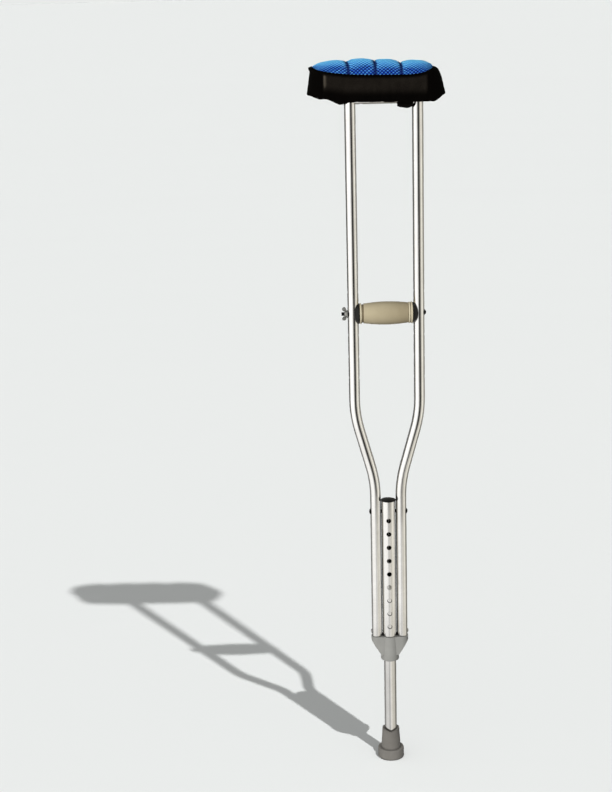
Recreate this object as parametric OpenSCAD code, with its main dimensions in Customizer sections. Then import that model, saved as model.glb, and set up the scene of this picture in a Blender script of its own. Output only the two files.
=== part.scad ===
// Underarm crutch, adult medium size, with a telescopic leg, a bolt-on hand grip and a
// slip-on quilted cushion over the underarm rest.
// Units are millimetres. The origin is the centre of the rubber tip's sole, +Z runs up the
// crutch, +X runs across the frame towards the head of the grip bolt, and the height button
// faces -Y.

/* [Frame] */
// Outside diameter of the two uprights and the crossbar
upright_d = 19.05; // [18.5:0.05:19.5]
// Wall of the two uprights and the crossbar
upright_wall = 1.25; // [1:0.05:1.5]
// Distance between the uprights' centre lines beside the grip
upright_spacing = 114; // [110:1:118]
// Height of the crossbar's centre line
crossbar_z = 1210; // [1206:0.5:1212]
// Height at which the uprights start to spread
bend_z = 508; // [506:1:520]
// Bend radius of an upright's centre line
bend_r = 210; // [180:5:215]
// Lean of an upright between its two bends, in degrees
bend_angle = 15.5; // [15:0.5:18]

/* [Telescopic leg] */
// Outside diameter of the fixed outer tube
outer_d = 25.4; // [25.3:0.05:25.5]
// Wall of the fixed outer tube
outer_wall = 1.4; // [1.3:0.05:1.4]
// Height of the fixed outer tube's top
outer_top_z = 500; // [495:1:503]
// Outside diameter of the sliding leg tube
leg_d = 22.2; // [22:0.05:22.3]
// Wall of the sliding leg tube
leg_wall = 1.25; // [1:0.05:1.4]
// Number of height settings
setting_count = 9; // [5:1:9]
// Distance between height settings
setting_pitch = 25.4; // [24:0.1:25.4]
// Height of the lowest button hole
lowest_setting_z = 262; // [260:0.5:264]
// Which hole holds the button, counted up from 0 at the lowest
button_setting = 3; // [2:1:4]

/* [Hand grip] */
// Height of the grip bolt
grip_z = 842; // [820:1:880]
// Distance between grip holes
grip_pitch = 38.1; // [36:0.1:40]
// Largest diameter of the grip
grip_d = 40; // [38:0.5:42]
// Diameter of the grip bolt's shank
bolt_d = 6.35; // [6:0.05:6.5]

/* [Rubber tip] */
// Height of the tip
tip_h = 58; // [54:1:60]
// Diameter of the tip's foot
tip_foot_d = 48; // [44:1:52]
// Height of the tip's foot
tip_foot_h = 19; // [16:1:21]

/* [Cushion] */
// Left-hand end of the slip-on cover
cover_left_x = -126; // [-130:1:-124]
// Right-hand end of the slip-on cover
cover_right_x = 102; // [102:1:106]
// Depth of the cover from front to back
cover_d = 55.6; // [55:0.2:60]
// Left-hand end of the quilted mesh panel
mesh_left_x = -119; // [-121:1:-116]
// Right-hand end of the quilted mesh panel
mesh_right_x = 83; // [80:1:86]

/* [Hidden] */
$fn = 96;

// Colours
aluminium = [0.86, 0.86, 0.85];
steel = [0.62, 0.62, 0.60];
dark_steel = [0.20, 0.20, 0.20];
grey_plastic = [0.62, 0.63, 0.61];
black_plastic = [0.06, 0.06, 0.06];
tan_rubber = [0.66, 0.61, 0.50];
grey_rubber = [0.47, 0.45, 0.43];
black_fabric = [0.05, 0.05, 0.05];
blue_mesh = [0.16, 0.42, 0.80];
pale_foam = [0.90, 0.88, 0.78];

// Clearances
slip = 0.05; // between parts that are assembled and stay put
run = 0.075; // radial, between a shaft and what turns on it
touch = 0.3; // under a part that only rests on another
cut = 1; // how far a cutting shape runs past what it cuts

// Frame
upright_r = upright_d / 2;
outer_r = outer_d / 2;
tube_gap = 0.5; // between the outer leg tube and each upright
low_x = outer_r + tube_gap + upright_r; // uprights' centre lines beside the outer tube
high_x = upright_spacing / 2;
arc_shift = bend_r * (1 - cos(bend_angle)); // sideways travel of one bend
slant_l = (high_x - low_x - 2 * arc_shift) / sin(bend_angle);
bend_top_z = bend_z + 2 * bend_r * sin(bend_angle) + slant_l * cos(bend_angle);
mitre_block = 60;
bend_step = 0.06; // how much thinner a bend is than the straights
bend_lap = 1; // how far the straights lap over a bend
grip_holes_below = 3;
grip_holes_above = 1;
grip_hole_r = bolt_d / 2 + 0.225;

// Collar
collar_foot_z = 195.3;
collar_top_z = 241.5;
collar_neck_z = 207;
collar_shoulder_z = 234;
collar_neck_r = 16.5;
collar_top_r = 15;
collar_half_w = low_x + upright_r + 1.25;
collar_half_d = 12;
collar_fillet = 1.2;
collar_seat_z = 213;
spigot_l = 20;
spigot_r = upright_r - upright_wall - slip;
rivet_z = 250;
rivet_r = 2.4;
rivet_head_r = 3.9;
rivet_head_h = 2;
rivet_grip = 6; // length of a collar rivet inside its spigot

// Clamp rivet across the three tubes
clamp_z = 480;
clamp_r = 3.1;
clamp_head_r = 5.2;
clamp_head_h = 2;

// Leg
leg_r = leg_d / 2;
leg_bore_r = leg_r - leg_wall;
button_z = lowest_setting_z + button_setting * setting_pitch;
leg_top_z = button_z + 9.5;
button_r = 4.1;
button_hole_r = 4.35;
button_out = 2.9; // how far the button stands out of the outer tube
clip_t = 0.7;
clip_w = 8;
clip_bend_r = 3.5;
clip_l = 38;
clip_y = -7.2; // middle of the clip's front leaf
clip_splay = 14; // degrees between the clip's leaves

// Tip
tip_floor_z = 12;
tip_washer_t = 1.4;
leg_foot_z = tip_floor_z + tip_washer_t;
tip_rim_r = 15.4;
tip_waist_r = 17.9;
tip_notch = 4.5; // how far the rim dips at the front and back
tread_depth = 1.5;

// Grip
grip_half_l = 46.2;
grip_core_r = 11;
swell_start = -39; // where the swell begins, behind the groove at the left end
swell_peak = 2;
swell_end = 38.05;
swell_start_r = 17.1;
swell_end_r = 17.4;
groove_r = 15.8;
bead_w = 3.7;
beads = [[-44.1, 18], [40.2, 18.5], [44.2, 18.8]]; // position along the grip and radius of each bead
saddle_start = 46.4;
saddle_end = 55.2;
saddle_dome_r = 12;
saddle_dome_x = 44;
saddle_dome_y = 6.2;
washer_t = 1.2;
washer_r = 7;
nut_hub_l = 4.2;
bolt_head_r = 5;
bolt_head_h = 3;
bolt_tail = 10.6; // how far the bolt's end stands past the left upright

// Cushion
cover_wall = 3.3;
cover_foot_z = 1207;
cover_deck_z = 1249;
cover_lip = 3.5;
slot_half_d = 13;
pad_half_l = 90;
pad_r = 23.5;
pad_slope_x = 10; // how much shorter the pad is at its top than at its foot, at each end
pad_slope_h = 16; // height over which it shortens
pad_foot_z = cover_foot_z + cover_lip + touch;
pad_top_z = cover_deck_z - cover_lip - touch;
rest_half_l = 85;
rest_half_d = 17;
rest_foot_z = 1211.5;
rest_top_z = 1229;
rest_wall = 3;
screw_x = 38;
screw_r = 2.15;
screw_head_r = 3.9;
mesh_r = 26;
mesh_t = 1.8;
bolster_r = mesh_r - mesh_t - 0.2;
bolster_z = cover_deck_z + 0.1;
seam_gap = 1;
seams = [-58, -12, 32]; // x of the three quilting seams
strap_t = 2.2;
strap_w = 23;
strap_left_x = -79.5;
strap_right_x = 35.5;

// A solid rod of diameter d along the right-hand upright's centre line, run past both ends by over.
// The bends are a hair thinner than the straights, as on drawn tube, and the straights lap over them.
module upright_rod(d, over = 0) {
    thin_d = d - bend_step;
    translate([low_x, 0, collar_top_z - over])
        cylinder(d = d, h = bend_z + bend_lap - collar_top_z + over);
    translate([low_x + bend_r, 0, bend_z]) arc_rod(thin_d, 180 - bend_angle);
    translate([low_x + arc_shift, 0, bend_z + bend_r * sin(bend_angle)])
        rotate([0, bend_angle, 0]) translate([0, 0, -bend_lap])
            cylinder(d = d, h = slant_l + 2 * bend_lap);
    translate([high_x - bend_r, 0, bend_top_z]) arc_rod(thin_d, -bend_angle);
    translate([high_x, 0, bend_top_z - bend_lap])
        cylinder(d = d, h = crossbar_z + upright_r - bend_top_z + over + bend_lap);
}

// One bend in the XZ plane about the origin, from the start angle through bend_angle degrees
module arc_rod(d, start) {
    rotate([90, 0, 0]) rotate([0, 0, start])
        rotate_extrude(angle = bend_angle) translate([bend_r, 0]) circle(d = d);
}

// A block beyond the mitre plane at the top right corner, on the side its angle turns it to
module mitre(angle) {
    translate([high_x, 0, crossbar_z]) rotate([0, angle, 0])
        translate([-mitre_block / 2, -mitre_block / 2, 0]) cube(mitre_block);
}

// A round cutter or rod along X, centred on x at height z
module x_rod(r, x, z, l) {
    translate([x - l / 2, 0, z]) rotate([0, 90, 0]) cylinder(r = r, h = l);
}

module upright() {
    color(aluminium) difference() {
        upright_rod(upright_d);
        upright_rod(upright_d - 2 * upright_wall, cut);
        mitre(-45);
        for (i = [-grip_holes_below : grip_holes_above])
            x_rod(grip_hole_r, high_x, grip_z + i * grip_pitch, upright_d + 2 * cut);
        x_rod(clamp_r + slip, low_x, clamp_z, upright_d + 2 * cut);
        x_rod(rivet_r + slip, low_x + upright_r, rivet_z, upright_d / 2);
    }
}

module left_upright() mirror([1, 0, 0]) upright();

module right_upright() upright();

module top_crossbar() {
    half_l = high_x + upright_r;
    color(aluminium) difference() {
        x_rod(upright_r, 0, crossbar_z, 2 * half_l);
        x_rod(upright_r - upright_wall, 0, crossbar_z, 2 * half_l + 2 * cut);
        mitre(135);
        mirror([1, 0, 0]) mitre(135);
        for (side = [-1, 1]) translate([side * screw_x, 0, crossbar_z]) {
            cylinder(r = screw_r + 0.2, h = upright_r + cut);
            translate([0, 0, -upright_r - cut])
                cylinder(r = screw_head_r + 0.4, h = upright_r + cut);
        }
    }
}

module outer_leg_tube() {
    color(aluminium) difference() {
        translate([0, 0, collar_seat_z]) cylinder(r = outer_r, h = outer_top_z - collar_seat_z);
        translate([0, 0, collar_seat_z - cut])
            cylinder(r = outer_r - outer_wall, h = outer_top_z - collar_seat_z + 2 * cut);
        x_rod(clamp_r + slip, 0, clamp_z, outer_d + 2 * cut);
        for (i = [0 : setting_count - 1])
            translate([0, 0, lowest_setting_z + i * setting_pitch])
                rotate([90, 0, 0]) cylinder(r = button_hole_r, h = outer_r + cut);
    }
}

// Plug in the top of the outer tube, with a flange over its rim and a low crown
module outer_tube_cap() {
    plug_r = outer_r - outer_wall - slip;
    flange_r = outer_r + tube_gap - 0.1;
    flange_h = 1.6;
    crown_h = 2.2;
    crown_r = (flange_r * flange_r + crown_h * crown_h) / (2 * crown_h);
    color(black_plastic) translate([0, 0, outer_top_z]) {
        difference() {
            translate([0, 0, -10]) cylinder(r = plug_r, h = 10);
            translate([0, 0, -10 - cut]) cylinder(r = plug_r - 2, h = 8);
        }
        cylinder(r = flange_r, h = flange_h);
        intersection() {
            translate([0, 0, flange_h + crown_h - crown_r]) sphere(r = crown_r);
            translate([0, 0, flange_h]) cylinder(r = flange_r + cut, h = crown_h + cut);
        }
    }
}

// Moulded collar that closes the uprights and guides the leg
module collar() {
    color(grey_plastic) difference() {
        union() {
            rotate_extrude() collar_neck_profile();
            collar_wings();
            for (side = [-1, 1]) translate([side * low_x, 0, collar_top_z]) {
                cylinder(r = spigot_r, h = spigot_l - 1.5);
                translate([0, 0, spigot_l - 1.5]) cylinder(r1 = spigot_r, r2 = spigot_r - 1.5, h = 1.5);
            }
        }
        translate([0, 0, collar_foot_z - cut])
            cylinder(r = leg_r + 0.15, h = collar_top_z - collar_foot_z + 2 * cut);
        translate([0, 0, collar_seat_z - touch])
            cylinder(r = outer_r + slip, h = collar_top_z - collar_seat_z + touch + cut);
        for (side = [-1, 1])
            x_rod(rivet_r + slip, side * (low_x + spigot_r), rivet_z, 2 * rivet_grip + 2 * slip);
    }
}

module collar_neck_profile() {
    polygon([
        [0, collar_foot_z], [collar_neck_r - collar_fillet, collar_foot_z],
        [collar_neck_r, collar_foot_z + collar_fillet], [collar_neck_r, collar_neck_z],
        [collar_top_r, collar_top_z], [0, collar_top_z]
    ]);
    translate([collar_neck_r - collar_fillet, collar_foot_z + collar_fillet])
        circle(r = collar_fillet);
}

module collar_wings() {
    reach = collar_half_w - collar_half_d;
    intersection() {
        rotate([90, 0, 0]) translate([0, 0, -collar_half_d]) linear_extrude(2 * collar_half_d)
            polygon([
                [-collar_neck_r + 1, collar_neck_z - 1], [collar_neck_r - 1, collar_neck_z - 1],
                [collar_half_w, collar_shoulder_z], [collar_half_w, collar_top_z],
                [-collar_half_w, collar_top_z], [-collar_half_w, collar_shoulder_z]
            ]);
        translate([0, 0, collar_neck_z - 2]) linear_extrude(collar_top_z - collar_neck_z + 2)
            stadium(-reach, reach, collar_half_d);
    }
}

// A bar with round ends in plan, between circle centres x0 and x1
module stadium(x0, x1, r) {
    translate([x0, -r]) square([x1 - x0, 2 * r]);
    translate([x0, 0]) circle(r = r);
    translate([x1, 0]) circle(r = r);
}

// Domed rivet head, its flat face on z = 0
module rivet_head(r, h) {
    dome_r = (r * r + h * h) / (2 * h);
    intersection() {
        translate([0, 0, h - dome_r]) sphere(r = dome_r);
        cylinder(r = r + cut, h = h + cut);
    }
}

// Rivet through the left upright, the outer tube and the right upright
module clamp_rivet() {
    seat_x = low_x + upright_r + slip;
    color(dark_steel) {
        x_rod(clamp_r, 0, clamp_z, 2 * seat_x);
        for (side = [-1, 1]) translate([side * seat_x, 0, clamp_z])
            rotate([0, side * 90, 0]) rivet_head(clamp_head_r, clamp_head_h);
    }
}

// Two rivets that hold the uprights on the collar's spigots
module collar_rivets() {
    seat_x = low_x + upright_r + slip;
    shank_l = seat_x - (low_x + spigot_r - rivet_grip);
    color(steel) for (side = [-1, 1]) {
        x_rod(rivet_r, side * (seat_x - shank_l / 2), rivet_z, shank_l);
        translate([side * seat_x, 0, rivet_z])
            rotate([0, side * 90, 0]) rivet_head(rivet_head_r, rivet_head_h);
    }
}

// Rigid rest that straddles the crossbar inside the underarm pad, cored out from below at both ends
module underarm_saddle() {
    core_x0 = high_x + upright_r + 4;
    flat = rest_half_l - rest_half_d;
    core_r = rest_half_d - rest_wall;
    color(grey_plastic) difference() {
        translate([0, 0, rest_foot_z]) linear_extrude(rest_top_z - rest_foot_z)
            stadium(-flat, flat, rest_half_d);
        x_rod(upright_r + slip, 0, crossbar_z, 2 * rest_half_l + 2 * cut);
        for (side = [-1, 1])
            translate([side * screw_x, 0, crossbar_z]) cylinder(r = screw_r + slip, h = 16.8);
        translate([0, 0, rest_foot_z - cut])
            linear_extrude(rest_top_z - rest_wall - rest_foot_z + cut) difference() {
                stadium(-flat, flat, core_r);
                square([2 * core_x0, 2 * rest_half_d], center = true);
            }
    }
}

// Two pan-head screws, driven through access holes in the crossbar's underside
module saddle_screws() {
    head_top = crossbar_z + 7;
    color(steel) for (side = [-1, 1]) translate([side * screw_x, 0, head_top]) {
        translate([0, 0, -2.6]) difference() {
            cylinder(r = screw_head_r, h = 2.6);
            for (turn = [0, 90]) rotate([0, 0, turn])
                translate([-2, -0.5, -cut]) cube([4, 1, cut + 1.4]);
        }
        cylinder(r = screw_r, h = 9);
    }
}

// Moulded rubber pad that sleeves over the rigid rest
module underarm_pad() {
    flat = pad_half_l - pad_r;
    rest_flat = rest_half_l - rest_half_d;
    color(grey_rubber) difference() {
        translate([0, 0, pad_foot_z]) linear_extrude(pad_top_z - pad_foot_z)
            stadium(-flat, flat, pad_r);
        pad_slope();
        mirror([1, 0, 0]) pad_slope();
        translate([0, 0, rest_foot_z - touch])
            linear_extrude(rest_top_z - rest_foot_z + 2 * touch)
                stadium(-rest_flat, rest_flat, rest_half_d + touch);
        translate([-pad_half_l - cut, -slot_half_d, pad_foot_z - cut])
            cube([2 * pad_half_l + 2 * cut, 2 * slot_half_d, rest_foot_z - pad_foot_z + 2 * cut]);
    }
}

// The wedge cut off the pad's right-hand top edge
module pad_slope() {
    translate([0, pad_r + cut, 0]) rotate([90, 0, 0]) linear_extrude(2 * pad_r + 2 * cut)
        polygon([
            [pad_half_l, pad_top_z - pad_slope_h], [pad_half_l + cut, pad_top_z - pad_slope_h],
            [pad_half_l + cut, pad_top_z + cut], [pad_half_l - pad_slope_x, pad_top_z + cut],
            [pad_half_l - pad_slope_x, pad_top_z]
        ]);
}

// Slip-on fabric sleeve, open along its underside for the frame
module cushion_cover() {
    r = cover_d / 2;
    color(black_fabric) difference() {
        translate([0, 0, cover_foot_z]) linear_extrude(cover_deck_z - cover_foot_z)
            stadium(cover_left_x + r, cover_right_x - r, r);
        translate([0, 0, cover_foot_z + cover_lip])
            linear_extrude(cover_deck_z - cover_foot_z - 2 * cover_lip)
                stadium(cover_left_x + r, cover_right_x - r, r - cover_wall);
        translate([0, 0, cover_foot_z - cut]) linear_extrude(cover_lip + 2 * cut)
            stadium(cover_left_x + r, cover_right_x - r, slot_half_d);
    }
}

// The top half of a capsule lying along X between x0 and x1, its flat face at bolster_z
module half_capsule(x0, x1, r) {
    intersection() {
        union() {
            x_rod(r, (x0 + x1) / 2, bolster_z, x1 - x0 - 2 * r);
            translate([x0 + r, 0, bolster_z]) sphere(r = r);
            translate([x1 - r, 0, bolster_z]) sphere(r = r);
        }
        translate([x0 - cut, -r - cut, bolster_z]) cube([x1 - x0 + 2 * cut, 2 * r + 2 * cut, r + cut]);
    }
}

// Spacer-mesh skin over the four bolsters
module mesh_panel() {
    color(blue_mesh) difference() {
        half_capsule(mesh_left_x, mesh_right_x, mesh_r);
        half_capsule(mesh_left_x + mesh_t, mesh_right_x - mesh_t, mesh_r - mesh_t);
    }
}

// The foam under one lobe of the mesh, between x0 and x1
module bolster(x0, x1) {
    inset = mesh_t + 0.2;
    color(pale_foam) intersection() {
        half_capsule(mesh_left_x + inset, mesh_right_x - inset, bolster_r);
        translate([x0, -mesh_r, bolster_z - cut]) cube([x1 - x0, 2 * mesh_r, mesh_r + 2 * cut]);
    }
}

module foam_bolster_1() bolster(mesh_left_x, seams[0] - seam_gap / 2);

module foam_bolster_2() bolster(seams[0] + seam_gap / 2, seams[1] - seam_gap / 2);

module foam_bolster_3() bolster(seams[1] + seam_gap / 2, seams[2] - seam_gap / 2);

module foam_bolster_4() bolster(seams[2] + seam_gap / 2, mesh_right_x);

// A hook-and-loop strap across the cover's open underside, centred on x, dropping to foot_z
module strap(x, foot_z) {
    top_z = cover_foot_z - 0.1;
    outer_y = 25;
    ledge_y = 15;
    foot_y = 11;
    color(black_fabric) translate([x + strap_w / 2, 0, 0]) rotate([90, 0, -90])
        linear_extrude(strap_w) polygon([
            [-outer_y, top_z], [-outer_y, top_z - strap_t], [-ledge_y - 0.8, top_z - strap_t],
            [-foot_y - 0.8, foot_z], [foot_y + 0.8, foot_z],
            [ledge_y + 0.8, top_z - strap_t], [outer_y, top_z - strap_t], [outer_y, top_z],
            [ledge_y - 0.8, top_z], [foot_y - 0.8, foot_z + strap_t],
            [-foot_y + 0.8, foot_z + strap_t], [-ledge_y + 0.8, top_z]
        ]);
}

module strap_left() strap(strap_left_x, 1198);

module strap_right() strap(strap_right_x, crossbar_z - upright_r - touch - strap_t);

// Long bolt through both uprights, with a low round head at the right
module grip_bolt() {
    head_x = high_x + upright_r + slip;
    tail_x = -(high_x + upright_r + bolt_tail);
    color(dark_steel) {
        x_rod(bolt_d / 2, (head_x + tail_x) / 2, grip_z, head_x - tail_x);
        translate([head_x, 0, grip_z]) rotate([0, 90, 0]) rivet_head(bolt_head_r, bolt_head_h);
    }
}

// Black yoke between the grip's right end and its upright
module grip_saddle() {
    color(black_plastic) difference() {
        translate([0, 0, grip_z]) rotate([0, 90, 0]) rotate_extrude() grip_saddle_profile();
        translate([high_x, 0, grip_z - 30]) cylinder(r = upright_r + slip, h = 60);
    }
}

module grip_saddle_profile() {
    intersection() {
        union() {
            translate([saddle_dome_y, saddle_dome_x]) circle(r = saddle_dome_r);
            translate([0, saddle_start]) square([saddle_dome_y, saddle_end - saddle_start]);
        }
        translate([grip_hole_r, saddle_start]) square([30, saddle_end - saddle_start]);
    }
}

module grip_saddle_left() mirror([1, 0, 0]) grip_saddle();

module grip_saddle_right() grip_saddle();

// Rigid tube that turns on the bolt and carries the soft grip
module grip_core() {
    color(black_plastic) difference() {
        x_rod(grip_core_r, 0, grip_z, 2 * grip_half_l);
        x_rod(bolt_d / 2 + run, 0, grip_z, 2 * grip_half_l + 2 * cut);
    }
}

// Soft grip: a long swell, with one bead behind a groove at the left and two beads at the right
module grip_sleeve() {
    color(tan_rubber) translate([0, 0, grip_z]) rotate([0, 90, 0])
        rotate_extrude() difference() {
            grip_sleeve_profile();
            translate([0, -grip_half_l - cut])
                square([grip_core_r + slip, 2 * grip_half_l + 2 * cut]);
        }
}

module grip_sleeve_profile() {
    swell(swell_start, swell_start_r);
    swell(swell_end, swell_end_r);
    translate([0, -grip_half_l]) square([groove_r, 2 * grip_half_l]);
    for (bead = beads) translate([bead[1] - bead_w / 2, bead[0]]) {
        circle(d = bead_w);
        translate([bead_w / 2 - bead[1], -bead_w / 2]) square([bead[1] - bead_w / 2, bead_w]);
    }
}

// Half of the swell, from its peak to the radius end_r at end_x
module swell(end_x, end_r) {
    peak_r = grip_d / 2;
    drop = peak_r - end_r;
    run_l = end_x - swell_peak;
    arc_r = (run_l * run_l + drop * drop) / (2 * drop);
    intersection() {
        translate([peak_r - arc_r, swell_peak]) circle(r = arc_r, $fn = 512);
        translate([0, min(end_x, swell_peak)]) square([peak_r + cut, abs(run_l)]);
    }
}

module plain_washer() {
    face_x = -(high_x + upright_r + slip);
    color(steel) difference() {
        x_rod(washer_r, face_x - washer_t / 2, grip_z, washer_t);
        x_rod(grip_hole_r, face_x, grip_z, 4 * washer_t);
    }
}

module wing_nut() {
    base_x = -(high_x + upright_r + slip + washer_t + slip);
    tip_x = -4.8;
    tip_z = 8.3;
    tip_r = 3.4;
    wing_t = 2.2;
    root_x = 0.6 - nut_hub_l; // outer end of a wing's root on the hub
    color(steel) translate([base_x, 0, grip_z]) difference() {
        union() {
            rotate([0, -90, 0]) cylinder(r1 = 5.4, r2 = 4.5, h = nut_hub_l);
            for (side = [0, 180]) rotate([side, 0, 0])
                translate([0, wing_t / 2, 0]) rotate([90, 0, 0]) linear_extrude(wing_t) {
                    translate([tip_x, tip_z]) circle(r = tip_r);
                    polygon([
                        [-0.3, 0], [-0.3, 4.6], [tip_x + tip_r * 0.92, tip_z + tip_r * 0.35],
                        [tip_x - tip_r * 0.2, tip_z - tip_r * 0.95], [root_x, 3.6], [root_x, 0]
                    ]);
                }
        }
        rotate([0, -90, 0]) translate([0, 0, -cut])
            cylinder(r = bolt_d / 2 + run, h = nut_hub_l + 2 * cut);
    }
}

module leg_tube() {
    color(aluminium) difference() {
        translate([0, 0, leg_foot_z]) cylinder(r = leg_r, h = leg_top_z - leg_foot_z);
        translate([0, 0, leg_foot_z - cut])
            cylinder(r = leg_bore_r, h = leg_top_z - leg_foot_z + 2 * cut);
        translate([0, 0, button_z]) rotate([90, 0, 0]) cylinder(r = button_hole_r, h = leg_r + cut);
    }
}

// Rubber tip with a notched rim, a stepped foot and a ringed sole
module rubber_tip() {
    foot_r = tip_foot_d / 2;
    round_r = 2;
    color(grey_rubber) difference() {
        rotate_extrude() {
            polygon([
                [0, 0], [foot_r - round_r, 0], [foot_r, round_r],
                [foot_r - 0.3, tip_foot_h - round_r], [foot_r - 0.3 - round_r, tip_foot_h],
                [tip_waist_r, tip_foot_h], [tip_rim_r, tip_h], [0, tip_h]
            ]);
            translate([foot_r - round_r, round_r]) circle(r = round_r);
            translate([foot_r - 0.3 - round_r, tip_foot_h - round_r]) circle(r = round_r);
        }
        translate([0, 0, tip_floor_z]) cylinder(r = leg_r + slip, h = tip_h);
        for (ring = [5 : 6.5 : 18]) translate([0, 0, -cut]) difference() {
            cylinder(r = ring + 3, h = tread_depth + cut);
            translate([0, 0, -cut]) cylinder(r = ring, h = tread_depth + 3 * cut);
        }
        translate([0, foot_r, 0]) rotate([90, 0, 0]) linear_extrude(2 * foot_r)
            polygon([
                [0, tip_h - tip_notch], [foot_r, tip_h + tip_notch / 2],
                [-foot_r, tip_h + tip_notch / 2]
            ]);
    }
}

// Steel disc that keeps the leg tube from cutting through the tip
module tip_washer() {
    color(steel) translate([0, 0, tip_floor_z]) difference() {
        cylinder(r = leg_r, h = tip_washer_t);
        translate([0, 0, -cut]) cylinder(r = 5, h = tip_washer_t + 2 * cut);
    }
}

// V-shaped leaf spring inside the leg tube, behind the button
module button_clip() {
    outer_r = clip_bend_r + clip_t / 2;
    inner_r = clip_bend_r - clip_t / 2;
    along_back = (clip_l - 4) * [sin(clip_splay), cos(clip_splay)];
    color(steel) translate([clip_w / 2, 0, button_z + 6 - clip_l]) rotate([90, 0, -90])
        linear_extrude(clip_w) mirror([1, 0]) translate([clip_y + clip_bend_r, 0])
            polygon(concat(
                [[-outer_r, clip_l]],
                clip_arc(outer_r, 180, 360 - clip_splay),
                [outer_r * [cos(clip_splay), -sin(clip_splay)] + along_back],
                [inner_r * [cos(clip_splay), -sin(clip_splay)] + along_back],
                clip_arc(inner_r, 360 - clip_splay, 180),
                [[-inner_r, clip_l]]
            ));
}

// Points along the clip's bend at radius r, between two angles
function clip_arc(r, from, to) =
    [for (i = [0 : 12]) let (a = from + (to - from) * i / 12) r * [cos(a), sin(a)]];

// Button with a flange inside the leg tube and a round nose outside the outer tube
module snap_button() {
    flange_y = 8.4;
    nose_y = outer_r + button_out;
    nose_h = 1.8;
    color(steel) translate([0, 0, button_z]) rotate([90, 0, 0]) {
        translate([0, 0, flange_y - 0.8]) cylinder(r = 5, h = 0.8);
        translate([0, 0, flange_y]) cylinder(r = button_r, h = nose_y - nose_h - flange_y);
        translate([0, 0, nose_y - nose_h]) rivet_head(button_r, nose_h);
    }
}

left_upright();
right_upright();
top_crossbar();
outer_leg_tube();
outer_tube_cap();
collar();
clamp_rivet();
collar_rivets();
underarm_saddle();
saddle_screws();
underarm_pad();
cushion_cover();
mesh_panel();
foam_bolster_1();
foam_bolster_2();
foam_bolster_3();
foam_bolster_4();
strap_left();
strap_right();
grip_bolt();
grip_saddle_left();
grip_saddle_right();
grip_core();
grip_sleeve();
plain_washer();
wing_nut();
leg_tube();
rubber_tip();
tip_washer();
button_clip();
snap_button();
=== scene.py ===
"""Looks of the underarm crutch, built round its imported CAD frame. Metres, +Z up, origin under the tip."""

import math

import bmesh
import bpy
import numpy as np
from mathutils import Matrix, Vector

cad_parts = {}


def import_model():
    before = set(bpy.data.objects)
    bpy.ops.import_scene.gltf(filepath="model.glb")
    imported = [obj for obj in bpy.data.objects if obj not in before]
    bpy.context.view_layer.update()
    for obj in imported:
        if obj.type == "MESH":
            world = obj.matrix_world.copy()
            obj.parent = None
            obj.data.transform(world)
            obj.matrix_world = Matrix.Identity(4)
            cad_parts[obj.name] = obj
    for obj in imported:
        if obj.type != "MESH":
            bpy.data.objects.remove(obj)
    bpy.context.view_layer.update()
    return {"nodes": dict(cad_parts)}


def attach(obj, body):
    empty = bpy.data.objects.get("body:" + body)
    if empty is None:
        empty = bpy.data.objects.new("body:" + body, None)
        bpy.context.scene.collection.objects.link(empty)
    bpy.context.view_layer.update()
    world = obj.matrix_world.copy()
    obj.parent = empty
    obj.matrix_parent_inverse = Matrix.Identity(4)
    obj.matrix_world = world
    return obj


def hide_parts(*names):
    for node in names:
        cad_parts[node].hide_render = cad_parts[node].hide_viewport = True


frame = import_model()
nodes = frame["nodes"]

MM = 0.001

# Quilted cushion, in millimetres in the CAD frame
SEAM_LEFT, SEAM_RIGHT = -119.0, 83.0   # ends of the sewn edge round the mesh
SEAM_Z = 1249.4                        # height of the sewn edge half way along
SEAM_DEPTH = 26.5                      # half the cushion's depth at the sewn edge
QUILT_X = (-62.5, -14.5, 28.0)         # the three seams between the lobes, at the crest
QUILT_SLANT = (4.8, 1.4, 2.2)          # how far each runs to the right at the front edge
GROOVE_Z = (1257.0, 1269.6, 1270.3, 1266.2, 1257.5)   # crest height at the ends and in the seams
LOBE_SWELL = (10.0, 5.2, 4.9, 9.3)     # how far each lobe stands above the line of its seams
LOBE_LEAN = (0.30, 0.50, 0.52, 0.62)   # where each lobe is highest, across its width
LOBE_SQUARENESS = 2.35                 # exponent of the section's curve, where 2 is an ellipse
SEAM_SQUARENESS = 1.90                 # the same in a quilting seam
SEAM_PINCH = 2.6                       # how far a quilting seam pulls the sides in
LOBE_BULGE = 1.3                       # how far a lobe's sides stand out
END_ZONE = 25.0                        # length at each end where the section keeps its squareness
UNSHADED_END = 12.0                    # length at each end that gets no painted seam shade


# ---------------------------------------------------------------- small helpers

def smooth(edge0, edge1, x):
    """Eased step from 0 at edge0 to 1 at edge1."""
    t = np.clip((np.asarray(x, float) - edge0) / (edge1 - edge0), 0, 1)
    return t * t * (3 - 2 * t)


def make_object(name, verts, faces, uvs=None):
    """A mesh object from vertices in metres, with one UV pair a vertex."""
    mesh = bpy.data.meshes.new(name)
    mesh.from_pydata([tuple(v) for v in verts], [], [tuple(f) for f in faces])
    if uvs is not None:
        layer = mesh.uv_layers.new(name="UVMap")
        loops = np.zeros(len(mesh.loops), int)
        mesh.loops.foreach_get("vertex_index", loops)
        layer.data.foreach_set("uv", np.asarray(uvs, np.float32)[loops].ravel())
    mesh.update()
    obj = bpy.data.objects.new(name, mesh)
    bpy.context.scene.collection.objects.link(obj)
    mesh.polygons.foreach_set("use_smooth", [True] * len(mesh.polygons))
    return obj


def grid_faces(rows, columns, wrap=False):
    """Quads over a grid stored row by row; wrap joins the last column to the first."""
    faces = []
    for i in range(rows - 1):
        for j in range(columns if wrap else columns - 1):
            k = (j + 1) % columns
            faces.append((i * columns + j, i * columns + k, (i + 1) * columns + k, (i + 1) * columns + j))
    return faces


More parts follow.
